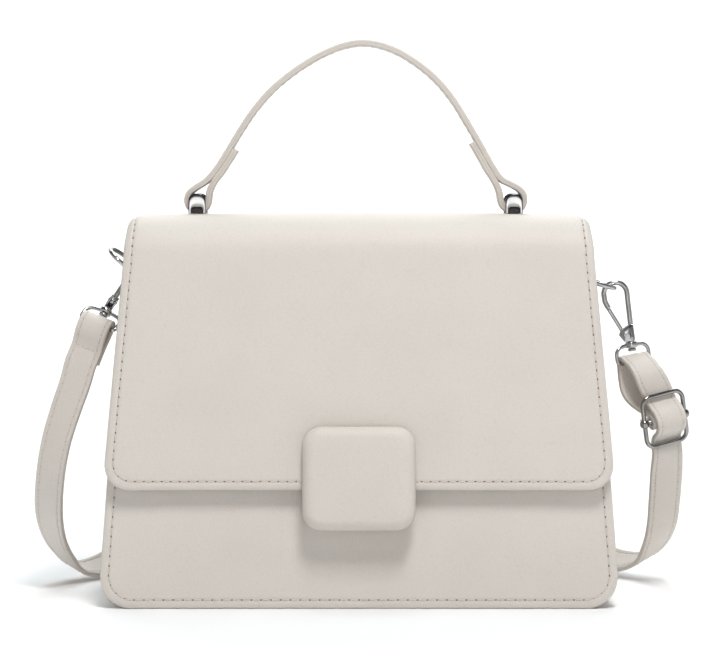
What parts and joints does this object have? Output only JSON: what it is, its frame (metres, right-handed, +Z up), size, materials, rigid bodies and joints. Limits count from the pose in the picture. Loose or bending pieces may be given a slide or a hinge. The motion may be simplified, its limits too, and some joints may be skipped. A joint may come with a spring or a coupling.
{
  "type": "square flap handbag",
  "caption": "Structured square flap handbag in ivory smooth leather, with a padded clasp block, a top handle on metal bridges and a detachable adjustable shoulder strap.",
  "frame": {"origin": "on the floor under the middle of the bag's base", "axes": "+Z up, +X to the bag's right seen from the front, +Y from the front panel to the back panel"},
  "size_m": [0.3187, 0.3625, 0.2687],
  "materials": {
    "leather": "satin",
    "hardware": "polished",
    "magnet": "plain"
  },
  "bodies": {
    "bag": {"front_panel": "leather", "back_panel": "leather", "gusset": "leather", "flap": "leather", "clasp_block": "leather", "handle": "leather", "ring_tab_left": "leather", "ring_tab_right": "leather", "shoulder_strap": "leather", "handle_bridge_left": "hardware", "handle_bridge_right": "hardware", "d_ring_left": "hardware", "d_ring_right": "hardware", "swivel_ring_left": "hardware", "swivel_ring_right": "hardware", "slider_frame": "hardware", "slider_bar": "hardware", "clasp_magnet": "magnet"},
    "hook_left": {"hook_body_left": "hardware"},
    "gate_left": {"hook_gate_left": "hardware"},
    "hook_right": {"hook_body_right": "hardware"},
    "gate_right": {"hook_gate_right": "hardware"}
  },
  "joints": [
    {"name": "hook_swivel_left", "type": "hinge", "parent": "bag", "child": "hook_left", "pos_m": [-0.12242, -0.0048, 0.13801], "axis": [0.43, 0.5701, 0.7001], "range_deg": [-18, 3]},
    {"name": "gate_swing_left", "type": "hinge", "parent": "hook_left", "child": "gate_left", "pos_m": [-0.1191, -0.00393, 0.14298], "axis": [-0.8239, -0.0692, 0.5625], "range_deg": [0, 22], "stiffness_Nm_per_rad": 0.004, "springref_deg": -11.46},
    {"name": "hook_swivel_right", "type": "hinge", "parent": "bag", "child": "hook_right", "pos_m": [0.13222, -0.00006, 0.12172], "axis": [-0.146, 0, 0.9893], "range_deg": [-18, 18]},
    {"name": "gate_swing_right", "type": "hinge", "parent": "hook_right", "child": "gate_right", "pos_m": [0.12876, -0.00002, 0.12667], "axis": [0.0148, 0.9999, 0.0022], "range_deg": [0, 22], "stiffness_Nm_per_rad": 0.004, "springref_deg": -11.46}
  ]
}
